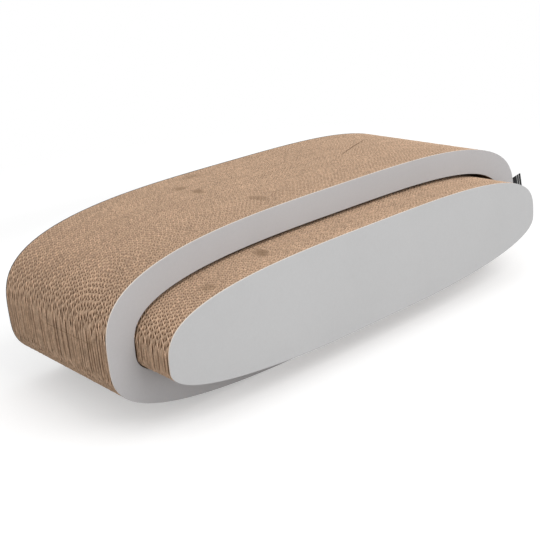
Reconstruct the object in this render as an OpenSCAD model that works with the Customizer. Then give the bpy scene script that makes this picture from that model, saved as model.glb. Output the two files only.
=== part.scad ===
// Two-piece oval cat scratcher of corrugated cardboard: an outer ring, and a core cut from the ring's middle
// that slides out of it. Both are stacks of upright sheets between two cover boards.
// +X runs along the ring, +Y to its back and +Z up. The origin is the middle of the ring's flat foot.

/* [Ring] */
// Length of the ring from tip to tip
length = 700; // [450:10:900]
// Height of the ring's top above its widest line
top_rise = 110; // [85:1:150]
// Depth of the ring's underside below its widest line, before the foot is cut
bottom_drop = 86; // [70:1:120]
// Height cut off the underside to make the flat foot
foot_cut = 1; // [0.5:0.5:4]
// Width of the ring's band all the way round
band_w = 33; // [20:1:45]

/* [Core] */
// Gap that the cut leaves between the core and the tunnel
core_gap = 2.5; // [2:0.1:6]
// Gap left under the core, where it stands on the tunnel's floor
seat_gap = 0.3; // [0.1:0.1:0.6]
// How far the core is drawn out of the ring at rest
core_out = 58; // [0:1:150]

/* [Outlines] */
// Squareness of the ring's upper half, where 2 is an ellipse
ring_top_squareness = 3.3; // [2:0.05:4]
// Squareness of the ring's lower half
ring_bottom_squareness = 3.1; // [2:0.05:4]
// Squareness of the tunnel's upper half
tunnel_top_squareness = 3.25; // [2:0.05:4]
// Squareness of the tunnel's lower half
tunnel_bottom_squareness = 2.45; // [2:0.05:4]
// Straight steps in each quarter of an outline
quarter_steps = 18; // [8:1:30]

/* [Sheets and covers] */
// Thickness of one corrugated sheet
sheet_t = 5.25; // [4:0.05:6]
// Sheets stacked in the ring, and as many in the core
sheet_count = 41; // [20:1:54]
// Sheets glued together in one board, where the last board takes what is left over
sheets_per_board = 2; // [2:1:4]
// Thickness of a cover board
cover_t = 2; // [1:0.5:4]

/* [Labels] */
// Width of the woven label ribbon
label_w = 22; // [14:1:26]
// Thickness of the folded ribbon
label_t = 0.8; // [0.4:0.1:1.2]
// Length of ribbon glued in behind a front cover
label_root = 22; // [16:1:26]
// How far the ring's label stands out past the ring's tip
label_proud = 20.5; // [8:0.5:30]
// Upward tilt of the ring's label, in degrees
label_tilt = 11.5; // [0:0.5:20]
// Height of the ring label's middle line above the widest line
ring_label_rise = 22; // [10:1:35]
// Height of the core label's middle line above the widest line
core_label_rise = 27; // [10:1:35]
// How far the core's label stands off the core's edge where it is folded back
fold_stand = 2; // [1.4:0.1:2]
// Length of the part of the core's label that is folded back over the boards
fold_back = 14; // [6:1:20]

/* [Hidden] */
board_count = ceil(sheet_count / sheets_per_board);
depth = 2 * cover_t + sheet_count * sheet_t;
ring_front_y = -depth / 2;
core_front_y = ring_front_y - core_out;
floor_drop = bottom_drop - foot_cut;
core_drop = core_gap - seat_gap;
core_half_l = length / 2 - band_w - core_gap;
cut_overrun = sheet_t;
cardboard_colour = [0.74, 0.61, 0.51];
cover_colour = [0.76, 0.76, 0.76];
label_colour = [0.06, 0.06, 0.06];

// Sheets that lie in front of the board with the given number
function sheets_before(number) = min((number - 1) * sheets_per_board, sheet_count);

// How far a board's front face lies behind its stack's front
function board_set_back(number) = cover_t + sheets_before(number) * sheet_t;

// Thickness of a board
function board_t(number) = board_set_back(number + 1) - board_set_back(number);

// A board's number with two digits, after the name of its stack
function board_name(stack, number) = str(stack, "_board_", number < 10 ? "0" : "", number);

// Angle that spreads the points of a quarter evenly between its tip and its crown
function spread_angle(share, squareness) =
    let (near = pow(share, squareness / 2), far = pow(1 - share, squareness / 2))
    90 * near / (near + far);

// One point of a quarter, moved in by inset along the outline's normal
function quarter_point(half_l, half_h, squareness, share, inset) =
    let (
        angle = spread_angle(share, squareness),
        along = pow(cos(angle), 2 / squareness),
        up = pow(sin(angle), 2 / squareness),
        normal = [pow(along, squareness - 1) / half_l, pow(up, squareness - 1) / half_h]
    )
    [half_l * along, half_h * up] - inset * normal / norm(normal);

// An oval around its widest line, anticlockwise from the right-hand tip, with its own upper and lower halves
function oval(half_l, rise, drop, top_squareness, bottom_squareness, inset) = [
    for (quarter = [0:3], step = [0:quarter_steps - 1])
        let (
            is_top = quarter < 2,
            from_tip = quarter == 0 || quarter == 2,
            share = from_tip ? step / quarter_steps : 1 - step / quarter_steps,
            half_h = is_top ? rise : drop,
            squareness = is_top ? top_squareness : bottom_squareness,
            point = quarter_point(half_l, half_h, squareness, share, inset)
        )
        [point.x * (quarter == 0 || quarter == 3 ? 1 : -1), point.y * (is_top ? 1 : -1)]
];

// The outline with everything under floor_z cut off straight
function flat_footed(points, floor_z) = [
    for (index = [0:len(points) - 1])
        let (
            here = points[index],
            next = points[(index + 1) % len(points)],
            crosses = (here.y - floor_z) * (next.y - floor_z) < 0,
            part = crosses ? (floor_z - here.y) / (next.y - here.y) : 0
        )
        each concat(here.y > floor_z ? [here] : [], crosses ? [here + (next - here) * part] : [])
];

// The outline with its widest line at the given height
function raised(points, height) = [for (point = points) [point.x, point.y + height]];

ring_outline = raised(
    flat_footed(
        oval(length / 2, top_rise, bottom_drop, ring_top_squareness, ring_bottom_squareness, 0),
        -floor_drop
    ),
    floor_drop
);

// The tunnel's outline, or one that lies inside it by inset
function tunnel_outline(inset) = flat_footed(
    oval(
        length / 2 - band_w, top_rise - band_w, bottom_drop - band_w,
        tunnel_top_squareness, tunnel_bottom_squareness, inset
    ),
    band_w + inset - floor_drop
);

// The core's outline where it stands in the tunnel, or one that lies outside it by stand
function core_outline(stand) = raised(tunnel_outline(core_gap - stand), floor_drop - core_drop);

// An upright slab of the given outline, from front_y back by its thickness
module slab(outline, front_y, thickness)
    translate([0, front_y + thickness, 0])
        rotate([90, 0, 0])
            linear_extrude(height = thickness)
                polygon(outline);

// An upright slab of the ring, with the tunnel cut through it
module ring_slab(front_y, thickness)
    difference() {
        slab(ring_outline, front_y, thickness);
        slab(raised(tunnel_outline(0), floor_drop), front_y - cut_overrun, thickness + 2 * cut_overrun);
    }

// The ring label's flat ribbon, from behind the cover out past the ring's tip
module ring_label_ribbon(front_y, thickness)
    translate([length / 2, front_y + thickness, floor_drop + ring_label_rise])
        rotate([90, 0, 0])
            rotate([0, 0, label_tilt])
                linear_extrude(height = thickness)
                    translate([-label_root, -label_w / 2])
                        square([label_root + label_proud, label_w]);

// The space that the core's label takes up in X and Z
module core_label_space(front_y, thickness)
    translate([core_half_l - label_root, front_y, floor_drop + core_label_rise - core_drop - label_w / 2])
        cube([label_root + core_gap, thickness, label_w]);

module ring_front_cover()
    color(cover_colour)
        ring_slab(ring_front_y, cover_t);

module ring_back_cover()
    color(cover_colour)
        ring_slab(ring_front_y + depth - cover_t, cover_t);

// A board of the ring, counted from the front, where the first one has a pocket for the label
module ring_board(number) {
    front_y = ring_front_y + board_set_back(number);
    color(cardboard_colour)
        difference() {
            ring_slab(front_y, board_t(number));
            if (number == 1)
                ring_label_ribbon(front_y - cut_overrun, label_t + cut_overrun);
        }
}

module ring_label()
    color(label_colour)
        ring_label_ribbon(ring_front_y + cover_t, label_t);

module core_front_cover()
    color(cover_colour)
        slab(core_outline(0), core_front_y, cover_t);

module core_back_cover()
    color(cover_colour)
        slab(core_outline(0), core_front_y + depth - cover_t, cover_t);

// A board of the core, counted from the front, where the first one has a pocket for the label
module core_board(number) {
    front_y = core_front_y + board_set_back(number);
    color(cardboard_colour)
        difference() {
            slab(core_outline(0), front_y, board_t(number));
            if (number == 1)
                core_label_space(front_y - cut_overrun, label_t + cut_overrun);
        }
}

// The core's label: flat behind the cover, then folded back over the ends of the boards
module core_label() {
    front_y = core_front_y + cover_t;
    color(label_colour)
        intersection() {
            difference() {
                slab(core_outline(fold_stand), front_y, fold_back);
                slab(core_outline(fold_stand - label_t), front_y + label_t, fold_back);
            }
            core_label_space(front_y, fold_back);
        }
}

ring_front_cover();
ring_back_cover();
ring_label();
core_front_cover();
core_back_cover();
core_label();
for (number = [1:board_count]) {
    ring_board(number);
    core_board(number);
}
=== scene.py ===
"""Looks of a two-piece oval cat scratcher, built around its packed solids.

The outer ring and the inner core are stacks of upright corrugated sheets between grey cover boards. Each
sheet is made of two paper liners with a wavy paper between them, whose flutes run upwards.
Lengths are in metres: +X runs along the ring, +Y to its back and +Z up.
"""

import math
import random
from typing import NamedTuple

import bmesh
import bpy
from bpy.props import FloatProperty, FloatVectorProperty, IntProperty, PointerProperty
from mathutils import Color, Matrix, Vector


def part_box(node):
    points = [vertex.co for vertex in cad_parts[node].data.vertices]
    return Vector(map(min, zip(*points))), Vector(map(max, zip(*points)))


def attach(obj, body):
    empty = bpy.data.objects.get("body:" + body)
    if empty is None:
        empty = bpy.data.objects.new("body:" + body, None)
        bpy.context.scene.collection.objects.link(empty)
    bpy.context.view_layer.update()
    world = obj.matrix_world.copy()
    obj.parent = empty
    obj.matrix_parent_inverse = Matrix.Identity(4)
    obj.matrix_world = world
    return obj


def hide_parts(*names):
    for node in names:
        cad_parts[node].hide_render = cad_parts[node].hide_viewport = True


bl_info = {
    "name": "Two-piece oval cat scratcher",
    "version": (1, 0, 0),
    "blender": (4, 5, 0),
    "location": "3D View > Sidebar > Scratcher",
    "description": "Builds a corrugated ring and core, their covers and labels around the packed solids",
    "category": "Add Mesh",
}

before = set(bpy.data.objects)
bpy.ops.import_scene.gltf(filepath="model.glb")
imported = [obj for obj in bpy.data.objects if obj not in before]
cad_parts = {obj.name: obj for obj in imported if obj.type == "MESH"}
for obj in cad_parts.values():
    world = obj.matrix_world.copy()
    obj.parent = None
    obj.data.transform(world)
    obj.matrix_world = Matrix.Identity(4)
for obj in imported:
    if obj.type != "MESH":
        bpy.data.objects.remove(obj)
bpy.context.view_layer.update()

RING_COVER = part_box("ring_front_cover")
CORE_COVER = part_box("core_front_cover")
FIRST_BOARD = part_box("ring_board_01")
RING_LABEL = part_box("ring_label")
CORE_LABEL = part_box("core_label")
BOARD_COUNT = sum(name.startswith("ring_board_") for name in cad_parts)
SHEETS_PER_BOARD = 2
SHEET_DEPTH = (FIRST_BOARD[1].y - FIRST_BOARD[0].y) / SHEETS_PER_BOARD

# Rounds that find where a leaning flute meets the sloping outline
LEAN_ROUNDS = 3
# Distance within which points of the cut wavy paper are joined
MERGE_DISTANCE = 1e-7
# Slack for telling which row of the wavy paper a face is in
ROW_SLACK = 1e-4
# How far a normal points along Y on a flat face, and on one that is more flat than upright
FLAT_NORMAL = 0.99
MOSTLY_FLAT_NORMAL = 0.5


def number_field(name, description, default, **kind):
    """A setting that is a number."""
    return FloatProperty(name=name, description=description, default=default, **kind)


def length_field(name, description, default):
    """A setting that is a length."""
    return number_field(name, description, default, unit="LENGTH")


def count_field(name, description, default):
    """A setting that is a whole number."""
    return IntProperty(name=name, description=description, default=default)


def colour_field(name, description, default):
    """A setting that is a linear colour."""
    return FloatVectorProperty(name=name, description=description, default=default, subtype="COLOR")


class OutlineSizes(bpy.types.PropertyGroup):
    """Shape of the ovals."""

    widest_height: length_field("Widest line", "Height of the ring's widest line", 0.085)
    ring_depth_below: length_field(
        "Ring below", "Depth of the ring's underside below its widest line", 0.086
    )
    ring_top_squareness: number_field(
        "Ring top", "Squareness of the ring's upper half, where 2 is an ellipse", 3.3
    )
    ring_bottom_squareness: number_field("Ring bottom", "Squareness of the ring's lower half", 3.1)
    band_width: length_field("Band", "Width of the ring's band", 0.033)
    tunnel_top_squareness: number_field("Tunnel top", "Squareness of the tunnel's upper half", 3.25)
    tunnel_bottom_squareness: number_field("Tunnel bottom", "Squareness of the tunnel's lower half", 2.45)
    core_bottom_squareness: number_field("Core bottom", "Squareness of the core's lower half", 2.40)
    core_sink: length_field("Core sink", "How far the core's widest line lies below the ring's", 0.0022)
    quarter_steps: count_field("Steps", "Straight steps in each quarter of an outline", 40)


class SheetSizes(bpy.types.PropertyGroup):
    """Sizes of the corrugated sheets."""

    liner: length_field("Liner", "Thickness of a sheet's flat papers", 0.0001)
    medium: length_field("Medium", "Thickness of a sheet's wavy paper", 0.0006)
    pitch: length_field("Flute pitch", "Distance from one flute to the next", 0.0058)
    wave_sharpness: number_field("Wave sharpness", "Near 0 for a round wave and near 1 for a zigzag", 0.6)
    points_per_flute: count_field("Points per flute", "Straight steps in one wave of the paper", 8)
    shift: number_field("Shift", "How far the flutes shift from one sheet to the next, in waves", -0.33)
    shift_spread: number_field(
        "Shift spread", "Most that a shift differs from its usual size, in waves", 0.38
    )
    pitch_spread: number_field("Pitch spread", "Share by which the pitch differs between sheets", 0.004)
    slant: number_field(
        "Slant", "Most that a sheet's flutes lean along X", math.radians(0.8), subtype="ANGLE"
    )
    trim_least: length_field("Least trim", "Least that a sheet stays inside the covers' outline", 0.0001)
    trim_most: length_field("Most trim", "Most that a sheet stays inside the covers' outline", 0.00035)
    seed: count_field("Seed", "Start of the random differences between sheets", 7)


class CoverSizes(bpy.types.PropertyGroup):
    """Sizes of the cover boards."""

    edge_round: length_field("Edge", "Rounding of a cover's edge", 0.0003)
    edge_steps: count_field("Edge steps", "Faces across a rounded edge", 2)


class RibbonSizes(bpy.types.PropertyGroup):
    """Sizes of the woven labels."""

    width: length_field("Width", "Width of the ribbon", 0.022)
    thickness: length_field("Thickness", "Thickness of one layer of ribbon", 0.0003)
    layer_gap: length_field("Layer gap", "Gap between the folded ribbon's layers", 0.0002)
    tilt: number_field("Tilt", "Upward tilt of the ring's label", math.radians(11.5), subtype="ANGLE")
    root: length_field("Root", "Length of ribbon glued in behind a cover", 0.022)
    proud: length_field("Proud", "Length of the ring's label past the ring's tip", 0.0205)
    fold_stand: length_field("Fold stand", "How far the core's label stands off the core's edge", 0.002)


class FinishColours(bpy.types.PropertyGroup):
    """Colours of the materials, as linear values."""

    cut_edge: colour_field("Cut edge", "Colour of the kraft paper's cut edges", (0.71, 0.495, 0.345))
    kraft_face: colour_field(
        "Kraft face", "Colour of the kraft paper's faces next to a cut edge", (0.56, 0.385, 0.262)
    )
    # Painted shade: the dark colour that flute walls and the paper round the tunnel turn to, standing in for
    # the shade there
    painted_kraft_shade: colour_field(
        "Kraft deep", "Colour of the kraft paper's faces deep in a flute", (0.16, 0.085, 0.045)
    )
    # Painted shade: the ring covers' paper is the core covers' paper, painted a little darker
    ring_cover_painted_shade: colour_field("Ring cover", "Colour of the ring covers' paper face", (0.465, 0.452, 0.455))
    core_cover: colour_field("Core cover", "Colour of the core covers' paper face", (0.49, 0.488, 0.489))
    front_rim: colour_field("Front rim", "Colour of the front covers' cut edge", (0.78, 0.70, 0.62))
    back_rim: colour_field("Back rim", "Colour of the back covers' cut edge", (0.045, 0.042, 0.04))
    ribbon: colour_field("Ribbon", "Colour of the labels' yarn", (0.012, 0.012, 0.013))
    ribbon_stripe: colour_field("Ribbon stripe", "Colour of the labels' pale stripes", (0.50, 0.50, 0.50))


class Oval(NamedTuple):
    """An upright oval with its own upper and lower half, cut straight at its foot."""

    half_length: float
    widest: float
    rise: float
    drop: float
    squareness: tuple
    foot: float

    def heights(self, x, trim=0.0):
        """Lowest and highest point at x, of the oval moved in by trim."""
        share = min(abs(x) / (self.half_length - trim), 1.0)
        top_power, bottom_power = self.squareness
        rise = (self.rise - trim) * (1.0 - share**top_power) ** (1.0 / top_power)
        drop = (self.drop - trim) * (1.0 - share**bottom_power) ** (1.0 / bottom_power)
        return max(self.widest - drop, self.foot), self.widest + rise

    def reach(self, z):
        """Half of the oval's length at height z."""
        above = z >= self.widest
        power = self.squareness[0 if above else 1]
        share = abs(z - self.widest) / (self.rise if above else self.drop)
        return self.half_length * (1.0 - share**power) ** (1.0 / power)

    def point(self, index, steps, trim=0.0):
        """Corner number index of an outline with that many steps in a quarter."""
        quarter, step = divmod(index, steps)
        share = step / steps if quarter in (0, 2) else 1.0 - step / steps
        power = self.squareness[0 if quarter < 2 else 1]
        near, far = share ** (power / 2), (1.0 - share) ** (power / 2)
        angle = 0.5 * math.pi * near / (near + far)
        across = math.cos(angle) ** (2.0 / power) * (self.half_length - trim)
        height = self.rise if quarter < 2 else self.drop
        up = math.sin(angle) ** (2.0 / power) * (height - trim)
        x = across if quarter in (0, 3) else -across
        z = self.widest + (up if quarter < 2 else -up)
        return x, max(z, self.foot)


def make_ovals(sizes):
    """The outlines of the ring, of its tunnel and of the core."""
    widest, band = sizes.widest_height, sizes.band_width
    ring_half, ring_rise = RING_COVER[1].x, RING_COVER[1].z - widest
    ring = Oval(
        ring_half, widest, ring_rise, sizes.ring_depth_below,
        (sizes.ring_top_squareness, sizes.ring_bottom_squareness), 0.0,
    )
    tunnel_powers = (sizes.tunnel_top_squareness, sizes.tunnel_bottom_squareness)
    tunnel = Oval(
        ring_half - band, widest, ring_rise - band, sizes.ring_depth_below - band, tunnel_powers, band
    )
    core_half, core_widest = CORE_COVER[1].x, widest - sizes.core_sink
    gap = tunnel.half_length - core_half
    core_powers = (sizes.tunnel_top_squareness, sizes.core_bottom_squareness)
    core = Oval(
        core_half, core_widest, tunnel.rise - gap, tunnel.drop - gap, core_powers, CORE_COVER[0].z
    )
    return ring, tunnel, core


def add_loop(bm, oval, trim, y, steps):
    """A closed loop of edges along the oval."""
    bm.edges.ensure_lookup_table()
    first = len(bm.edges)
    made = bmesh.ops.create_circle(bm, segments=4 * steps, radius=1.0)
    for index, vert in enumerate(made["verts"]):
        x, z = oval.point(index, steps, trim)
        vert.co = (x, y, z)
    bm.edges.ensure_lookup_table()
    return bm.edges[first:]


def add_plate(bm, outer, hole, trim, y, depth, steps):
    """A flat plate of the outer oval, with the hole's oval cut through where there is one."""
    edges = add_loop(bm, outer, trim, y, steps)
    if hole is None:
        faces = bmesh.ops.contextual_create(bm, geom=edges)["faces"]
    else:
        edges = edges + add_loop(bm, hole, -trim, y, steps)
        faces = bmesh.ops.bridge_loops(bm, edges=edges)["faces"]
    made = bmesh.ops.extrude_face_region(bm, geom=faces)
    moved = [item for item in made["geom"] if isinstance(item, bmesh.types.BMVert)]
    bmesh.ops.translate(bm, verts=moved, vec=(0.0, depth, 0.0))


def add_medium(bm, outer, hole, trim, y, height, sizes, wave):
    """The wavy paper of one sheet, with its ends cut to the outline.

    The wave holds the pitch of the flutes, their phase at the left tip and their lean along X.
    """
    pitch, phase, lean = wave
    level_layer = bm.verts.layers.int["level"]
    reach = outer.half_length - trim - sizes.medium
    columns = round(2 * reach / pitch * sizes.points_per_flute)
    rows = 1 if hole is None else 3
    made = bmesh.ops.create_grid(bm, x_segments=columns, y_segments=rows, size=1.0)
    for vert in made["verts"]:
        start = x = vert.co.x * reach
        row = round((vert.co.y + 1.0) / 2.0 * rows)
        for _ in range(LEAN_ROUNDS):
            levels = list(outer.heights(x, trim))
            if hole is not None:
                levels[1:1] = hole.heights(x, -trim)
            x = max(min(start + lean * (levels[row] - outer.widest), reach), -reach)
        swing = sizes.wave_sharpness * math.sin(2.0 * math.pi * ((start + outer.half_length) / pitch + phase))
        vert.co = (x, y + height * math.asin(swing) / math.asin(sizes.wave_sharpness), levels[row])
        vert[level_layer] = row + 1
    faces = list(dict.fromkeys(face for vert in made["verts"] for face in vert.link_faces))
    if hole is not None:
        middle = [face for face in faces if is_between(face, hole, trim)]
        bmesh.ops.delete(bm, geom=middle, context="FACES")
        kept = [vert for vert in made["verts"] if vert.is_valid]
        bmesh.ops.remove_doubles(bm, verts=kept, dist=MERGE_DISTANCE)
        faces = [face for face in faces if face.is_valid]
    bm.normal_update()
    bmesh.ops.solidify(bm, geom=faces, thickness=sizes.medium)


def is_between(face, hole, trim):
    """Whether the face lies in the row between the tunnel's floor and its roof."""
    centre = face.calc_center_median()
    low, high = hole.heights(centre.x, -trim)
    return low - ROW_SLACK < centre.z < high + ROW_SLACK


def is_cut(face, level_layer):
    """Whether the face is a cut edge of paper, and not one of its walls."""
    levels = {vert[level_layer] for vert in face.verts}
    return abs(face.normal.y) < MOSTLY_FLAT_NORMAL if 0 in levels else len(levels) == 1


def finish_sheets(bm, tones):
    """Marks the wavy paper's cut edges and each sheet's tone, and smooths the paper's walls."""
    bmesh.ops.recalc_face_normals(bm, faces=bm.faces[:])
    level_layer = bm.verts.layers.int["level"]
    cut_layer = bm.faces.layers.float.new("cut_edge")
    tone_layer = bm.faces.layers.float.new("sheet_tone")
    for face in bm.faces:
        cut = is_cut(face, level_layer)
        is_liner = any(vert[level_layer] == 0 for vert in face.verts)
        face[cut_layer] = 1.0 if cut and not is_liner else 0.0
        face.smooth = not cut
        y = face.calc_center_median().y
        face[tone_layer] = min(tones, key=lambda tone: abs(tone[0] - y))[1]
    bm.verts.layers.int.remove(level_layer)


def fix_order(items, key):
    """Puts points or faces in order of key, because the operators' own order varies between runs."""
    ranks = {item: rank for rank, item in enumerate(sorted(items, key=key))}
    items.sort(key=ranks.get)
    items.index_update()


def new_piece(bm, name, body, nodes, material):
    """A finished piece from the bmesh, riding on its body in place of its solids."""
    fix_order(bm.verts, lambda vert: vert.co.to_tuple())
    fix_order(bm.faces, lambda face: sorted(vert.index for vert in face.verts))
    mesh = bpy.data.meshes.new(name)
    bm.to_mesh(mesh)
    bm.free()
    mesh.materials.append(material)
    piece = bpy.data.objects.new(name, mesh)
    bpy.context.scene.collection.objects.link(piece)
    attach(piece, body)
    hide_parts(*nodes)
    return piece


def add_sheets(context, body, outer, hole):
    """All the corrugated sheets of one stack, one piece for each board."""
    sizes = context.scene.scratcher_sheets
    steps = context.scene.scratcher_outline.quarter_steps
    draw = random.Random(f"{body} {sizes.seed}")
    height = SHEET_DEPTH / 2 - sizes.liner - sizes.medium / 2
    phase = draw.random()
    for number in range(1, BOARD_COUNT + 1):
        node = f"{body}_board_{number:02d}"
        low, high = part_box(node)
        bm = bmesh.new()
        bm.verts.layers.int.new("level")
        tones = []
        for sheet in range(round((high.y - low.y) / SHEET_DEPTH)):
            phase += sizes.shift + draw.uniform(-sizes.shift_spread, sizes.shift_spread)
            trim = draw.uniform(sizes.trim_least, sizes.trim_most)
            y = low.y + sheet * SHEET_DEPTH
            tones.append((y + SHEET_DEPTH / 2, draw.random()))
            add_plate(bm, outer, hole, trim, y, sizes.liner, steps)
            add_plate(bm, outer, hole, trim, y + SHEET_DEPTH - sizes.liner, sizes.liner, steps)
            pitch = sizes.pitch * (1.0 + draw.uniform(-sizes.pitch_spread, sizes.pitch_spread))
            lean = math.tan(draw.uniform(-sizes.slant, sizes.slant))
            middle = y + SHEET_DEPTH / 2 - sizes.medium / 2
            add_medium(bm, outer, hole, trim, middle, height, sizes, (pitch, phase, lean))
        finish_sheets(bm, tones)
        material = kraft_material(context, body, outer, hole)
        new_piece(bm, f"{body}_sheets_{number:02d}", body, [node], material)


def add_cover(context, name, body, node, outer, hole, facing):
    """A cover board with slightly rounded edges, whose paper face looks along facing in Y."""
    sizes = context.scene.scratcher_covers
    steps = context.scene.scratcher_outline.quarter_steps
    low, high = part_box(node)
    bm = bmesh.new()
    add_plate(bm, outer, hole, 0.0, low.y, high.y - low.y, steps)
    bmesh.ops.recalc_face_normals(bm, faces=bm.faces[:])
    rims = [edge for edge in bm.edges if is_rim(edge)]
    bmesh.ops.bevel(
        bm, geom=rims, offset=sizes.edge_round, offset_type="OFFSET", segments=sizes.edge_steps,
        profile=0.5, affect="EDGES", material=-1, clamp_overlap=True,
    )
    depth_layer = bm.verts.layers.float.new("rim_depth")
    for vert in bm.verts:
        share = (vert.co.y - low.y) / (high.y - low.y)
        vert[depth_layer] = share if facing < 0 else 1.0 - share
    for face in bm.faces:
        face.smooth = abs(face.normal.y) < FLAT_NORMAL
    new_piece(bm, name, body, [node], cover_material(context, body, facing))


def is_rim(edge):
    """Whether the edge lies between a flat face and the rim."""
    flat = [abs(face.normal.y) > MOSTLY_FLAT_NORMAL for face in edge.link_faces]
    return len(flat) == 2 and flat[0] != flat[1]


COLUMN_WIDTH = 200
ROW_HEIGHT = 180


def add_node(tree, kind, place, **settings):
    """A shader node at a column and row of the editor, with its settings."""
    node = tree.nodes.new(kind)
    node.location = (place[0] * COLUMN_WIDTH, -place[1] * ROW_HEIGHT)
    for name, value in settings.items():
        setattr(node, name, value)
    return node


def feed(socket, value):
    """Links an input to another node's socket, or sets it to a value."""
    if isinstance(value, bpy.types.NodeSocket):
        socket.id_data.links.new(value, socket)
    else:
        socket.default_value = value


def set_inputs(node, **values):
    """Feeds inputs by name, with underscores for spaces."""
    for name, value in values.items():
        feed(node.inputs[name.replace("_", " ")], value)
    return node


def new_group(name, vectors, numbers, outputs):
    """An empty node group with its vector and number inputs, and its input and output nodes."""
    tree = bpy.data.node_groups.new(name, "ShaderNodeTree")
    for label in vectors:
        tree.interface.new_socket(name=label, in_out="INPUT", socket_type="NodeSocketVector")
    for label, default in numbers.items():
        socket = tree.interface.new_socket(name=label, in_out="INPUT", socket_type="NodeSocketFloat")
        socket.default_value = default
    for label in outputs:
        tree.interface.new_socket(name=label, in_out="OUTPUT", socket_type="NodeSocketFloat")
    return tree, add_node(tree, "NodeGroupInput", (-4, 0)), add_node(tree, "NodeGroupOutput", (6, 0))


def math_node(tree, operation, place, *values):
    """A Math node whose inputs are sockets or numbers."""
    node = add_node(tree, "ShaderNodeMath", place, operation=operation)
    for socket, value in zip(node.inputs, values):
        feed(socket, value)
    return node.outputs[0]


def vector_node(tree, operation, place, *values, output="Vector"):
    """A Vector Math node whose inputs are sockets or vectors."""
    node = add_node(tree, "ShaderNodeVectorMath", place, operation=operation)
    for socket, value in zip(node.inputs, values):
        feed(socket, value)
    return node.outputs[output]


def ramp_node(tree, place, value, low, high, low_out=0.0, high_out=1.0):
    """A smooth Map Range from low..high to low_out..high_out."""
    node = add_node(tree, "ShaderNodeMapRange", place, interpolation_type="SMOOTHSTEP")
    set_inputs(node, Value=value, From_Min=low, From_Max=high, To_Min=low_out, To_Max=high_out)
    return node.outputs["Result"]


def scale_node(tree, place, value, factor):
    """A vector or colour times a number, which are sockets or a colour's own value."""
    node = add_node(tree, "ShaderNodeVectorMath", place, operation="SCALE")
    return set_inputs(node, Vector=value, Scale=factor).outputs["Vector"]


def noise_node(tree, place, vector, scale, detail, roughness, stretch=None):
    """A Noise Texture's value, with its space stretched first where that is asked."""
    if stretch is not None:
        mapping = add_node(tree, "ShaderNodeMapping", (place[0] - 1, place[1]))
        vector = set_inputs(mapping, Vector=vector, Scale=stretch).outputs["Vector"]
    node = add_node(tree, "ShaderNodeTexNoise", place)
    set_inputs(node, Vector=vector, Scale=scale, Detail=detail, Roughness=roughness)
    return node.outputs["Fac"]


def mix_colour(tree, place, factor, first, second):
    """A Mix node for colours, whose inputs are sockets, or colours to mix."""
    node = add_node(tree, "ShaderNodeMix", place, data_type="RGBA")
    for name, value in (("Factor_Float", factor), ("A_Color", first), ("B_Color", second)):
        socket = next(item for item in node.inputs if item.identifier == name)
        feed(socket, (*value, 1.0) if isinstance(value, (tuple, Color)) else value)
    return next(item for item in node.outputs if item.identifier == "Result_Color")


def place_group(tree, group, place, **values):
    """A group node, with its inputs fed by name."""
    return set_inputs(add_node(tree, "ShaderNodeGroup", place, node_tree=group), **values)


# Noise values between which a speck grows to full, and shares of a mark's half size between which it does
SPECK_LIMITS = (0.66, 0.76)
MARK_EDGE = (1.0, 0.35)


def paper_grain_group():
    """Paper grain: fibres, specks and cloudy patches."""
    name = "paper_grain"
    if name in bpy.data.node_groups:
        return bpy.data.node_groups[name]
    tree, start, end = new_group(
        name, ["Vector"], {"Fibre Scale": 900.0, "Cloud Scale": 25.0}, ["Fibres", "Specks", "Clouds"]
    )
    vector, fibre_scale, cloud_scale = start.outputs[:3]
    along = noise_node(tree, (-1, 0), vector, fibre_scale, 3.0, 0.6, stretch=(0.35, 1.0, 1.0))
    across = noise_node(tree, (-1, 1), vector, fibre_scale, 2.0, 0.6, stretch=(1.0, 1.0, 0.3))
    speck = noise_node(tree, (-1, 2), vector, fibre_scale, 1.0, 0.4)
    set_inputs(
        end,
        Fibres=math_node(tree, "MULTIPLY", (1, 0), along, across),
        Specks=ramp_node(tree, (1, 2), speck, *SPECK_LIMITS),
        Clouds=noise_node(tree, (-1, 3), vector, cloud_scale, 3.0, 0.55),
    )
    return tree


def rubbed_mark_group():
    """A ragged oval mark around a point, such as a smudge or a crease."""
    name = "rubbed_mark"
    if name in bpy.data.node_groups:
        return bpy.data.node_groups[name]
    tree, start, end = new_group(
        name, ["Vector", "Centre", "Half Size"], {"Turn": 0.0, "Ragged": 0.6, "Grain Scale": 160.0}, ["Mask"]
    )
    vector, centre, half_size, turn, ragged, grain_scale = start.outputs[:6]
    turned = add_node(tree, "ShaderNodeVectorRotate", (-2, 0), rotation_type="Z_AXIS")
    set_inputs(turned, Vector=vector_node(tree, "SUBTRACT", (-3, 0), vector, centre), Angle=turn)
    scaled = vector_node(tree, "DIVIDE", (-1, 0), turned.outputs[0], half_size)
    length = vector_node(tree, "LENGTH", (0, 0), scaled, output="Value")
    grain = noise_node(tree, (-1, 2), vector, grain_scale, 3.0, 0.6)
    shifted = math_node(tree, "SUBTRACT", (1, 2), grain, 0.5)
    pushed = math_node(tree, "MULTIPLY_ADD", (2, 1), shifted, ragged, length)
    set_inputs(end, Mask=ramp_node(tree, (4, 0), pushed, *MARK_EDGE))
    return tree


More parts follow.
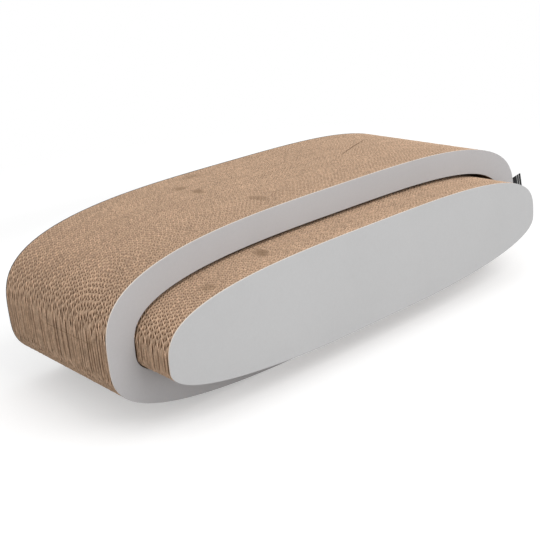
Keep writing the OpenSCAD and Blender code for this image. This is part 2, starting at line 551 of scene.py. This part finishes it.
def outline_depth_group():
    """How deep a point lies inside an upright oval, in metres, which is exact near the outline."""
    name = "outline_depth"
    if name in bpy.data.node_groups:
        return bpy.data.node_groups[name]
    tree, start, end = new_group(
        name, ["Vector"],
        {"Half Length": 0.35, "Widest": 0.085, "Rise": 0.11, "Drop": 0.086,
         "Top Power": 3.3, "Bottom Power": 3.1},
        ["Depth"],
    )
    vector, half_length, widest, rise, drop, top_power, bottom_power = start.outputs[:7]
    split = set_inputs(add_node(tree, "ShaderNodeSeparateXYZ", (-3, 0)), Vector=vector)
    up = math_node(tree, "SUBTRACT", (-2, 1), split.outputs["Z"], widest)
    above = math_node(tree, "GREATER_THAN", (-1, 1), up, 0.0)
    taller = math_node(tree, "SUBTRACT", (-1, 2), rise, drop)
    height = math_node(tree, "MULTIPLY_ADD", (0, 2), above, taller, drop)
    squarer = math_node(tree, "SUBTRACT", (-1, 3), top_power, bottom_power)
    power = math_node(tree, "MULTIPLY_ADD", (0, 3), above, squarer, bottom_power)
    less = math_node(tree, "SUBTRACT", (1, 3), power, 1.0)
    level, slopes = None, None
    for row, (value, reach) in enumerate(((split.outputs["X"], half_length), (up, height))):
        size = math_node(tree, "ABSOLUTE", (0, 5 + row), value)
        share = math_node(tree, "DIVIDE", (1, 5 + row), size, reach)
        term = math_node(tree, "POWER", (2, 5 + row), share, power)
        slope = math_node(tree, "POWER", (2, 7 + row), share, less)
        slope = math_node(tree, "MULTIPLY", (3, 9), slope, power)
        slope = math_node(tree, "DIVIDE", (3, 7 + row), slope, reach)
        square = math_node(tree, "MULTIPLY", (4, 7 + row), slope, slope)
        level = term if level is None else math_node(tree, "ADD", (3, 5), level, term)
        slopes = square if slopes is None else math_node(tree, "ADD", (4, 5), slopes, square)
    inside = math_node(tree, "SUBTRACT", (4, 0), 1.0, level)
    depth = math_node(tree, "DIVIDE", (5, 0), inside, math_node(tree, "SQRT", (5, 5), slopes))
    set_inputs(end, Depth=depth)
    return tree


def depth_socket(tree, row, coordinates, oval):
    """The depth below an oval's outline."""
    top_power, bottom_power = oval.squareness
    return place_group(
        tree, outline_depth_group(), (-3, row), Vector=coordinates,
        Half_Length=oval.half_length, Widest=oval.widest, Rise=oval.rise, Drop=oval.drop,
        Top_Power=top_power, Bottom_Power=bottom_power,
    ).outputs["Depth"]


# Each range is two values of a pattern, depth or mask, and what they become
FIBRE_ROUGHNESS = (0.1, 0.5, 0.82, 0.95)
# Depths below the outline over which the flute walls darken to painted shade
FLUTE_SHADE_DEPTHS = (0.0004, 0.0032)
# Distances from the tunnel's outline over which painted shade fades out, and how strong it is
TUNNEL_SHADE_DEPTHS = (0.004, 0.006, 0.8, 0.0)
KRAFT_CLOUDS = (0.3, 0.7, 0.96, 1.03)
KRAFT_FIBRES = (0.12, 0.42, 0.84, 1.12)
FRAY_SHADES = (0.34, 0.66, 0.80, 1.14)
# Distances from a spot's middle over which the paper darkens, as painted shade for the dark flute openings
PAINTED_CELL_SHADES = (0.22, 0.50, 0.90, 1.04)
# Darkest and palest sheet, and how much brighter the core's paper is than the ring's, as painted light, for
# both are the same paper
SHEET_TONES = (0.97, 1.03)
CORE_PAINTED_LIGHT = 1.04
FRAY_SCALE = 330.0
CELL_SHADE_SCALE = 310.0
CELL_SHADE_SCATTER = 0.85
SPECK_SHARE = 0.35
SPECK_COLOUR = (0.24, 0.15, 0.09)
MARK_COLOUR = (0.27, 0.175, 0.105)
CRACK_COLOUR = (0.20, 0.125, 0.07)
CRACK_GRAIN_SCALE = 420.0
# Each mark is its centre, its half size, its turn about Z and its strength
TOP_MARKS = (
    ((-0.1185, 0.0575, 0.194), (0.012, 0.011, 0.03), 0.3, 0.60),
    ((-0.1145, 0.0250, 0.194), (0.011, 0.013, 0.03), 0.0, 0.65),
    ((-0.0940, -0.0640, 0.194), (0.010, 0.020, 0.03), -0.2, 0.42),
    ((-0.0760, 0.0900, 0.194), (0.024, 0.012, 0.03), 0.2, 0.35),
    ((-0.1495, -0.1280, 0.155), (0.011, 0.017, 0.02), 0.2, 0.75),
    ((-0.2400, -0.1440, 0.146), (0.010, 0.012, 0.02), 0.0, 0.50),
    ((-0.3480, -0.0730, 0.099), (0.020, 0.005, 0.011), 0.0, 0.55),
)
CRACKS = (
    ((0.1550, 0.0197, 0.1935), (0.078, 0.0014, 0.03), -0.4636, 1.0),
    ((-0.3490, -0.0250, 0.1000), (0.020, 0.085, 0.0009), 0.0, 0.55),
    ((-0.3420, -0.0900, 0.1345), (0.020, 0.014, 0.0011), 0.0, 0.60),
)


def new_material(name):
    """An empty material, its tree and its shader, with the object's own coordinates."""
    material = bpy.data.materials.new(name)
    material.use_nodes = True
    tree = material.node_tree
    tree.nodes.clear()
    output = add_node(tree, "ShaderNodeOutputMaterial", (9, 0))
    shader = add_node(tree, "ShaderNodeBsdfPrincipled", (7, 0))
    set_inputs(output, Surface=shader.outputs["BSDF"])
    coordinates = add_node(tree, "ShaderNodeTexCoord", (-5, 0)).outputs["Object"]
    return material, tree, shader, coordinates


def add_bump(tree, shader, place, height, strength, distance):
    """A Bump node that feeds the shader's normal."""
    bump = add_node(tree, "ShaderNodeBump", place)
    set_inputs(bump, Strength=strength, Distance=distance, Height=height)
    set_inputs(shader, Normal=bump.outputs["Normal"])


def add_marks(tree, first_row, coordinates, colour, marks, mark_colour, **values):
    """The colour with marks rubbed over it, one after another."""
    for row, (centre, half_size, turn, strength) in enumerate(marks, first_row):
        mark = place_group(
            tree, rubbed_mark_group(), (2, row), Vector=coordinates,
            Centre=centre, Half_Size=half_size, Turn=turn, **values,
        )
        factor = math_node(tree, "MULTIPLY", (3, row), mark.outputs["Mask"], strength)
        colour = mix_colour(tree, (4, row), factor, colour, mark_colour)
    return colour


def kraft_material(context, body, outer, hole):
    """Kraft paper with pale cut edges, smudges and a slightly different tone for each sheet, with painted
    shade deep in the flutes, round the tunnel and in dark spots, and painted light on the core's paper.
    """
    name = f"{body}_kraft_paper"
    if name in bpy.data.materials:
        return bpy.data.materials[name]
    colours = context.scene.scratcher_colours
    material, tree, shader, coordinates = new_material(name)
    grain = place_group(
        tree, paper_grain_group(), (-3, 0), Vector=coordinates, Fibre_Scale=1100.0, Cloud_Scale=22.0
    )
    cut = add_node(tree, "ShaderNodeAttribute", (-3, 2), attribute_name="cut_edge").outputs["Fac"]
    tone = add_node(tree, "ShaderNodeAttribute", (-3, 3), attribute_name="sheet_tone").outputs["Fac"]
    depth = depth_socket(tree, 5, coordinates, outer)
    if hole is not None:
        beyond = math_node(tree, "MULTIPLY", (-2, 6), depth_socket(tree, 6, coordinates, hole), -1.0)
        depth = math_node(tree, "MINIMUM", (-2, 5), depth, beyond)
    # Painted light: the core's paper is made brighter than the ring's, though both are the same paper
    painted_light = CORE_PAINTED_LIGHT if body == "core" else 1.0
    # Painted shade: flute walls darken with depth below the cut surface, as shade deep in the flutes
    deep = ramp_node(tree, (-2, 4), depth, *FLUTE_SHADE_DEPTHS)
    wall = mix_colour(tree, (-2, 0), deep, colours.kraft_face, colours.painted_kraft_shade)
    base = mix_colour(tree, (-1, 0), cut, wall, colours.cut_edge)
    if hole is not None:
        # Painted shade on the paper next to the tunnel's walls, as the shade inside the tunnel
        inside = ramp_node(tree, (-1, 6), beyond, *TUNNEL_SHADE_DEPTHS)
        base = mix_colour(tree, (0, 6), inside, base, colours.painted_kraft_shade)
    cloud = ramp_node(tree, (-1, 1), grain.outputs["Clouds"], *KRAFT_CLOUDS)
    sheet = ramp_node(tree, (-1, 2), tone, 0.0, 1.0, SHEET_TONES[0] * painted_light, SHEET_TONES[1] * painted_light)
    fibre = ramp_node(tree, (-1, 3), grain.outputs["Fibres"], *KRAFT_FIBRES)
    shade = math_node(tree, "MULTIPLY", (0, 1), cloud, sheet)
    shade = math_node(tree, "MULTIPLY", (1, 1), shade, fibre)
    fray = noise_node(tree, (0, 2), coordinates, FRAY_SCALE, 2.0, 0.6, stretch=(1.0, 1.0, 0.3))
    shade = math_node(tree, "MULTIPLY", (2, 1), shade, ramp_node(tree, (1, 2), fray, *FRAY_SHADES))
    # Painted shade: dark spots that stand in for the shade in the flutes' openings
    cell_spots = add_node(tree, "ShaderNodeTexVoronoi", (0, 3), feature="F1")
    set_inputs(cell_spots, Vector=coordinates, Scale=CELL_SHADE_SCALE, Randomness=CELL_SHADE_SCATTER)
    cell_shade = ramp_node(tree, (1, 3), cell_spots.outputs["Distance"], *PAINTED_CELL_SHADES)
    shade = math_node(tree, "MULTIPLY", (2, 2), shade, cell_shade)
    specks = math_node(tree, "MULTIPLY", (3, 2), grain.outputs["Specks"], SPECK_SHARE)
    colour = mix_colour(tree, (3, 0), specks, scale_node(tree, (2, 0), base, shade), SPECK_COLOUR)
    colour = add_marks(tree, 3, coordinates, colour, TOP_MARKS, MARK_COLOUR, Ragged=1.3)
    colour = add_marks(
        tree, 3 + len(TOP_MARKS), coordinates, colour, CRACKS, CRACK_COLOUR,
        Ragged=0.8, Grain_Scale=CRACK_GRAIN_SCALE,
    )
    roughness = ramp_node(tree, (5, 2), grain.outputs["Fibres"], *FIBRE_ROUGHNESS)
    set_inputs(shader, Base_Color=colour, Roughness=roughness, Specular_IOR_Level=0.25)
    add_bump(tree, shader, (6, 3), grain.outputs["Fibres"], 0.35, 0.0004)
    return material


# Share of a cover's thickness that its paper face takes up, and how softly it ends
FRONT_PAPER_END = 0.24
BACK_PAPER_END = 0.06
PAPER_END_SPREAD = 0.06
TORN_FIBRES = (0.1, 0.45, 1.1, 1.8)
COVER_CLOUDS = (0.3, 0.7, 0.975, 1.015)
COVER_FIBRES = (0.1, 0.45, 0.985, 1.015)
COVER_ROUGHNESS = (0.3, 0.7, 0.52, 0.64)
SCUFF_SHARE = 0.06
SCUFF_COLOUR = (0.35, 0.34, 0.33)


def cover_material(context, body, facing):
    """Pale grey paper over board, which shows along the rim."""
    colours = context.scene.scratcher_colours
    rim, side = (colours.front_rim, "front") if facing < 0 else (colours.back_rim, "back")
    # The ring covers take the darker copy of the paper colour, as painted shade
    paper = colours.ring_cover_painted_shade if body == "ring" else colours.core_cover
    name = f"{body}_covered_board_{side}"
    material, tree, shader, coordinates = new_material(name)
    grain = place_group(
        tree, paper_grain_group(), (-3, 0), Vector=coordinates, Fibre_Scale=700.0, Cloud_Scale=9.0
    )
    depth = add_node(tree, "ShaderNodeAttribute", (-3, 3), attribute_name="rim_depth").outputs["Fac"]
    torn = ramp_node(tree, (-2, 4), grain.outputs["Fibres"], *TORN_FIBRES)
    ragged = math_node(tree, "MULTIPLY", (-1, 3), depth, torn)
    paper_end = FRONT_PAPER_END if facing < 0 else BACK_PAPER_END
    board = ramp_node(tree, (0, 3), ragged, paper_end - PAPER_END_SPREAD, paper_end + PAPER_END_SPREAD)
    cloud = ramp_node(tree, (-1, 0), grain.outputs["Clouds"], *COVER_CLOUDS)
    fibre = ramp_node(tree, (-1, 1), grain.outputs["Fibres"], *COVER_FIBRES)
    shade = math_node(tree, "MULTIPLY", (0, 0), cloud, fibre)
    colour = mix_colour(tree, (3, 0), board, scale_node(tree, (1, 0), paper, shade), rim)
    scuff = place_group(
        tree, paper_grain_group(), (1, 5), Vector=coordinates, Fibre_Scale=160.0, Cloud_Scale=60.0
    )
    faint = math_node(tree, "MULTIPLY", (3, 4), scuff.outputs["Specks"], SCUFF_SHARE)
    colour = mix_colour(tree, (4, 0), faint, colour, SCUFF_COLOUR)
    roughness = ramp_node(tree, (5, 2), grain.outputs["Clouds"], *COVER_ROUGHNESS)
    set_inputs(shader, Base_Color=colour, Roughness=roughness, Specular_IOR_Level=0.35)
    add_bump(tree, shader, (6, 3), grain.outputs["Fibres"], 0.12, 0.0002)
    return material


YARN_SHADES = (-1.0, 1.0, 0.55, 1.35)
YARN_ROUGHNESS = (-1.0, 1.0, 0.72, 0.5)
STRIPE_MIDDLES = (0.0045, 0.0085)
STRIPE_EDGE = (0.0006, 0.0003)
LINT_SCALE = 1800.0
LINT_SHARES = (0.68, 0.80, 0.0, 0.05)
LINT_COLOUR = (0.25, 0.24, 0.23)


def woven_group():
    """Plain ribbon weave from a UV map in metres: yarn height and a mask of the crossing yarns."""
    name = "ribbon_weave"
    if name in bpy.data.node_groups:
        return bpy.data.node_groups[name]
    tree, start, end = new_group(name, ["Vector"], {"Yarns per Metre": 2600.0}, ["Height", "Shade"])
    vector, yarns = start.outputs[:2]
    split = add_node(tree, "ShaderNodeSeparateXYZ", (-2, 0))
    set_inputs(split, Vector=scale_node(tree, (-3, 0), vector, yarns))
    waves = []
    for row, axis in enumerate("XY"):
        angle = math_node(tree, "MULTIPLY", (-1, row), split.outputs[axis], math.pi)
        waves.append(math_node(tree, "SINE", (0, row), angle))
    height = math_node(tree, "MULTIPLY", (1, 0), *waves)
    set_inputs(end, Height=height, Shade=ramp_node(tree, (3, 1), height, *YARN_SHADES))
    return tree


def ribbon_material(context):
    """Black woven ribbon with two plain pale stripes across its end."""
    name = "woven_ribbon"
    if name in bpy.data.materials:
        return bpy.data.materials[name]
    colours = context.scene.scratcher_colours
    material, tree, shader, coordinates = new_material(name)
    weave_map = add_node(tree, "ShaderNodeUVMap", (-5, 1), uv_map="weave").outputs["UV"]
    weave = place_group(tree, woven_group(), (-3, 0), Vector=weave_map)
    split = set_inputs(add_node(tree, "ShaderNodeSeparateXYZ", (-3, 3)), Vector=weave_map)
    stripe = None
    for row, middle in enumerate(STRIPE_MIDDLES):
        off = math_node(tree, "SUBTRACT", (-2, 3 + row), split.outputs["X"], middle)
        off = math_node(tree, "ABSOLUTE", (-1, 3 + row), off)
        band = ramp_node(tree, (0, 3 + row), off, *STRIPE_EDGE)
        stripe = band if stripe is None else math_node(tree, "MAXIMUM", (1, 3), stripe, band)
    lint = noise_node(tree, (-1, 6), coordinates, LINT_SCALE, 2.0, 0.6)
    base = mix_colour(tree, (2, 1), stripe, colours.ribbon, colours.ribbon_stripe)
    shaded = scale_node(tree, (3, 0), base, weave.outputs["Shade"])
    colour = mix_colour(tree, (4, 0), ramp_node(tree, (2, 5), lint, *LINT_SHARES), shaded, LINT_COLOUR)
    roughness = ramp_node(tree, (4, 2), weave.outputs["Height"], *YARN_ROUGHNESS)
    set_inputs(shader, Base_Color=colour, Roughness=roughness, Sheen_Weight=0.02, Specular_IOR_Level=0.12)
    add_bump(tree, shader, (6, 3), weave.outputs["Height"], 0.5, 0.00008)
    return material


# Steps across a ribbon, along its straight run, round its own fold and round the core label's corner
RIBBON_WIDTH_STEPS = 12
RIBBON_RUN_STEPS = 24
FOLD_STEPS = 6
CORNER_STEPS = 8
RETURN_STEPS = 12
# How far the ring label's free end sways to the front
LABEL_SWAY = 0.0011
# Radius of the core label's corner, as a share of how far it stands off
CORNER_SHARE = 0.6


def folded_path(points, spread):
    """A line that runs along the points on one side, turns at their end and comes back on the other."""
    normals = []
    for index in range(len(points)):
        before, after = points[max(index - 1, 0)], points[min(index + 1, len(points) - 1)]
        run = (after - before).normalized()
        normals.append(Vector((run.y, -run.x, 0.0)))
    out = [point + normal * spread for point, normal in zip(points, normals)]
    back = [point - normal * spread for point, normal in zip(points, normals)]
    end_run = (points[-1] - points[-2]).normalized()
    turn = [
        points[-1] + normals[-1] * spread * math.cos(angle) + end_run * spread * math.sin(angle)
        for angle in (math.pi * step / FOLD_STEPS for step in range(1, FOLD_STEPS))
    ]
    return out + turn + back[::-1]


def add_ribbon(context, name, body, node, rows):
    """A folded ribbon, whose rows are lines from one long edge to the other."""
    sizes = context.scene.scratcher_ribbons
    length_steps, width_steps = len(rows[0]) - 1, len(rows) - 1
    bm = bmesh.new()
    made = bmesh.ops.create_grid(bm, x_segments=length_steps, y_segments=width_steps, size=1.0)
    weave = bm.loops.layers.uv.new("weave")
    half_run = sum((b - a).length for a, b in zip(rows[0], rows[0][1:])) / 2
    place = {}
    for vert in made["verts"]:
        column = round((vert.co.x + 1.0) / 2.0 * length_steps)
        row = round((vert.co.y + 1.0) / 2.0 * width_steps)
        line = rows[row]
        run = sum((b - a).length for a, b in zip(line[:column], line[1:column + 1]))
        place[vert] = (abs(run - half_run), sizes.width * row / width_steps)
        vert.co = line[column]
    for face in bm.faces:
        face.smooth = True
        for loop in face.loops:
            loop[weave].uv = place[loop.vert]
    bmesh.ops.recalc_face_normals(bm, faces=bm.faces[:])
    piece = new_piece(bm, name, body, [node], ribbon_material(context))
    solid = piece.modifiers.new("ribbon_thickness", "SOLIDIFY")
    solid.thickness = sizes.thickness
    solid.offset = 0.0
    solid.use_even_offset = True


class SCRATCHER_OT_add_ring_sheets(bpy.types.Operator):
    """Stack the ring's corrugated sheets"""

    bl_idname = "scratcher.add_ring_sheets"
    bl_label = "Add ring sheets"

    def execute(self, context):
        ring, tunnel, _ = make_ovals(context.scene.scratcher_outline)
        add_sheets(context, "ring", ring, tunnel)
        return {"FINISHED"}


class SCRATCHER_OT_add_core_sheets(bpy.types.Operator):
    """Stack the core's corrugated sheets"""

    bl_idname = "scratcher.add_core_sheets"
    bl_label = "Add core sheets"

    def execute(self, context):
        core = make_ovals(context.scene.scratcher_outline)[2]
        add_sheets(context, "core", core, None)
        return {"FINISHED"}


class SCRATCHER_OT_add_covers(bpy.types.Operator):
    """Put the four cover boards on the front and back of both stacks"""

    bl_idname = "scratcher.add_covers"
    bl_label = "Add covers"

    def execute(self, context):
        ring, tunnel, core = make_ovals(context.scene.scratcher_outline)
        for body, outer, hole in (("ring", ring, tunnel), ("core", core, None)):
            add_cover(context, f"{body}_cover_front", body, f"{body}_front_cover", outer, hole, -1)
            add_cover(context, f"{body}_cover_back", body, f"{body}_back_cover", outer, hole, 1)
        return {"FINISHED"}


class SCRATCHER_OT_add_labels(bpy.types.Operator):
    """Add the two folded ribbon labels at the right-hand end"""

    bl_idname = "scratcher.add_labels"
    bl_label = "Add labels"

    def execute(self, context):
        sizes = context.scene.scratcher_ribbons
        core = make_ovals(context.scene.scratcher_outline)[2]
        spread = (sizes.thickness + sizes.layer_gap) / 2
        width_steps, run_steps = RIBBON_WIDTH_STEPS, RIBBON_RUN_STEPS
        inset = spread + sizes.thickness / 2
        tilt = Matrix.Rotation(-sizes.tilt, 3, "Y")
        rise = sizes.proud * math.sin(sizes.tilt) + 0.5 * sizes.width * math.cos(sizes.tilt)
        pivot = Vector((RING_COVER[1].x, 0.0, RING_LABEL[1].z - rise))
        y = RING_LABEL[0].y + inset
        rows = []
        for row in range(width_steps + 1):
            up = sizes.width * (row / width_steps - 0.5)
            line = []
            for step in range(run_steps + 1):
                along = -sizes.root + (sizes.root + sizes.proud - inset) * step / run_steps
                flat = Vector((along, 0.0, up))
                sway = -LABEL_SWAY * max(along / sizes.proud, 0.0) ** 2
                line.append(pivot + tilt @ flat + Vector((0.0, y + sway, 0.0)))
            rows.append(folded_path(line, spread))
        add_ribbon(context, "ring_ribbon", "ring", "ring_label", rows)

        front, back = CORE_LABEL[0].y + inset, CORE_LABEL[1].y - inset
        low, high = CORE_LABEL[0].z, CORE_LABEL[1].z
        rows = []
        for row in range(width_steps + 1):
            z = low + (high - low) * row / width_steps
            outer_x = core.reach(z) + sizes.fold_stand - inset
            turn = sizes.fold_stand * CORNER_SHARE
            start = Vector((core.half_length - sizes.root, front, z))
            corner = Vector((outer_x - turn, front + turn, z))
            bend = Vector((corner.x, front, z))
            line = [start.lerp(bend, step / run_steps) for step in range(run_steps)]
            line += [
                corner + turn * Vector((math.sin(angle), -math.cos(angle), 0.0))
                for angle in (0.5 * math.pi * step / CORNER_STEPS for step in range(CORNER_STEPS + 1))
            ]
            end = Vector((outer_x, back, z))
            line += [line[-1].lerp(end, step / RETURN_STEPS) for step in range(1, RETURN_STEPS + 1)]
            rows.append(folded_path(line, spread))
        add_ribbon(context, "core_ribbon", "core", "core_label", rows)
        return {"FINISHED"}


class SCRATCHER_OT_set_stage(bpy.types.Operator):
    """Set the camera, the lights, the world and the floor"""

    bl_idname = "scratcher.set_stage"
    bl_label = "Set stage"

    def execute(self, context):
        scene = context.scene
        scene.view_settings.view_transform = "Standard"
        add_camera(scene)
        add_floor(scene)
        add_world(scene)
        for name, place, size, power in LIGHTS:
            add_area_light(scene, name, place, size, power)
        return {"FINISHED"}


LIGHT_TARGET = Vector((0.0, -0.05, 0.1))
# Each light is its name, its place, its width and height, and its power in watts
LIGHTS = (
    ("high_front_light", (0.4, -1.7, 1.9), (2.0, 1.2), 23.6),
    ("low_front_light", (-0.2, -1.9, 0.3), (1.6, 0.5), 5.0),
    ("low_left_light", (-2.1, -0.7, 0.7), (1.2, 0.8), 4.2),
)
CAMERA_AZIMUTH = -0.69672
CAMERA_ELEVATION = 0.34865
CAMERA_ROLL = -0.09006
CAMERA_DISTANCE = 1.13912
CAMERA_TARGET = Vector((-0.12377, -0.110, 0.1221))
CAMERA_LENS = 65.70
CAMERA_SENSOR = 36.0
CAMERA_CLIP = (0.05, 60.0)
FLOOR_HALF_SIZE = 20.0
FLOOR_DROP = 0.0002
# Distances from the middle between which the floor stops showing a shadow, and turns plain white
SHADOW_FADE = (0.5, 1.2)
FLOOR_GLOW = (0.0, 1.0, 0.38, 1.0)
NEAR_FLOOR_COLOUR = (0.70, 0.70, 0.70)
FAR_FLOOR_COLOUR = (0.0, 0.0, 0.0)
BOUNCE_FLOOR_COLOUR = (0.45, 0.45, 0.45)
SKY_STRENGTH = (0.0, 1.0, 0.82, 1.0)
WHITE = (1.0, 1.0, 1.0, 1.0)


def add_camera(scene):
    """The camera at the photograph's viewing angle."""
    flat = math.cos(CAMERA_ELEVATION)
    back = Vector((
        math.sin(CAMERA_AZIMUTH) * flat, -math.cos(CAMERA_AZIMUTH) * flat, math.sin(CAMERA_ELEVATION)
    ))
    level = (-back).cross(Vector((0.0, 0.0, 1.0))).normalized()
    upright = level.cross(-back)
    right = math.cos(CAMERA_ROLL) * level + math.sin(CAMERA_ROLL) * upright
    up = -math.sin(CAMERA_ROLL) * level + math.cos(CAMERA_ROLL) * upright
    data = bpy.data.cameras.new("photo_camera")
    data.lens = CAMERA_LENS
    data.sensor_width = CAMERA_SENSOR
    data.clip_start, data.clip_end = CAMERA_CLIP
    camera = bpy.data.objects.new("photo_camera", data)
    scene.collection.objects.link(camera)
    turn = Matrix((right, up, back)).transposed()
    camera.matrix_world = Matrix.Translation(CAMERA_TARGET + back * CAMERA_DISTANCE) @ turn.to_4x4()
    scene.camera = camera


def add_floor(scene):
    """A wide pale floor, white to the camera where no shadow falls."""
    bm = bmesh.new()
    bmesh.ops.create_grid(bm, x_segments=1, y_segments=1, size=FLOOR_HALF_SIZE)
    bmesh.ops.translate(bm, verts=bm.verts[:], vec=(0.0, 0.0, -FLOOR_DROP))
    mesh = bpy.data.meshes.new("studio_floor")
    bm.to_mesh(mesh)
    bm.free()
    material, tree, shader, coordinates = new_material("studio_floor")
    ray = add_node(tree, "ShaderNodeLightPath", (-2, 0))
    seen = math_node(tree, "MAXIMUM", (-1, 0), ray.outputs["Is Camera Ray"], ray.outputs["Is Glossy Ray"])
    distance = vector_node(tree, "LENGTH", (-2, 1), coordinates, output="Value")
    far = ramp_node(tree, (-1, 1), distance, *SHADOW_FADE)
    shown = mix_colour(tree, (0, 1), far, NEAR_FLOOR_COLOUR, FAR_FLOOR_COLOUR)
    colour = mix_colour(tree, (1, 0), seen, BOUNCE_FLOOR_COLOUR, shown)
    glow = math_node(tree, "MULTIPLY", (1, 2), seen, ramp_node(tree, (0, 2), far, *FLOOR_GLOW))
    set_inputs(
        shader, Base_Color=colour, Roughness=0.9, Specular_IOR_Level=0.0,
        Emission_Color=WHITE, Emission_Strength=glow,
    )
    mesh.materials.append(material)
    floor = bpy.data.objects.new("studio_floor", mesh)
    scene.collection.objects.link(floor)


def add_world(scene):
    """A soft grey sky that lights the object, and is white to the camera."""
    world = bpy.data.worlds.new("studio_world")
    world.use_nodes = True
    tree = world.node_tree
    tree.nodes.clear()
    output = add_node(tree, "ShaderNodeOutputWorld", (4, 0))
    background = add_node(tree, "ShaderNodeBackground", (3, 0))
    ray = add_node(tree, "ShaderNodeLightPath", (0, 0))
    strength = ramp_node(tree, (1, 0), ray.outputs["Is Camera Ray"], *SKY_STRENGTH)
    set_inputs(background, Color=WHITE, Strength=strength)
    set_inputs(output, Surface=background.outputs[0])
    scene.world = world


def add_area_light(scene, name, place, size, power):
    """A rectangular soft light."""
    data = bpy.data.lights.new(name, "AREA")
    data.shape = "RECTANGLE"
    data.size, data.size_y = size
    data.energy = power
    light = bpy.data.objects.new(name, data)
    light.location = place
    light.rotation_mode = "QUATERNION"
    light.rotation_quaternion = (LIGHT_TARGET - Vector(place)).to_track_quat("-Z", "Y")
    scene.collection.objects.link(light)


OPERATORS = (
    SCRATCHER_OT_set_stage,
    SCRATCHER_OT_add_ring_sheets,
    SCRATCHER_OT_add_core_sheets,
    SCRATCHER_OT_add_covers,
    SCRATCHER_OT_add_labels,
)
GROUPS = {
    "scratcher_outline": OutlineSizes,
    "scratcher_sheets": SheetSizes,
    "scratcher_covers": CoverSizes,
    "scratcher_ribbons": RibbonSizes,
    "scratcher_colours": FinishColours,
}


class SCRATCHER_PT_panel(bpy.types.Panel):
    """Sizes, colours and steps of the scratcher"""

    bl_idname = "SCRATCHER_PT_panel"
    bl_label = "Cat scratcher"
    bl_space_type = "VIEW_3D"
    bl_region_type = "UI"
    bl_category = "Scratcher"

    def draw(self, context):
        for name, group in GROUPS.items():
            box = self.layout.box()
            box.label(text=group.__doc__.rstrip("."))
            for field in group.__annotations__:
                box.prop(getattr(context.scene, name), field)
        for operator in OPERATORS:
            self.layout.operator(operator.bl_idname)


def register():
    """Registers the settings, the operators and the panel."""
    for group in GROUPS.values():
        bpy.utils.register_class(group)
    for operator in OPERATORS:
        bpy.utils.register_class(operator)
    bpy.utils.register_class(SCRATCHER_PT_panel)
    for name, group in GROUPS.items():
        setattr(bpy.types.Scene, name, PointerProperty(type=group))


def unregister():
    """Takes out what register() added."""
    for name in GROUPS:
        delattr(bpy.types.Scene, name)
    bpy.utils.unregister_class(SCRATCHER_PT_panel)
    for operator in reversed(OPERATORS):
        bpy.utils.unregister_class(operator)
    for group in reversed(GROUPS.values()):
        bpy.utils.unregister_class(group)


def main():
    """Registers the scratcher, sets the stage and builds every piece in order."""
    register()
    bpy.ops.scratcher.set_stage()
    bpy.ops.scratcher.add_ring_sheets()
    bpy.ops.scratcher.add_core_sheets()
    bpy.ops.scratcher.add_covers()
    bpy.ops.scratcher.add_labels()


if __name__ == "__main__":
    main()
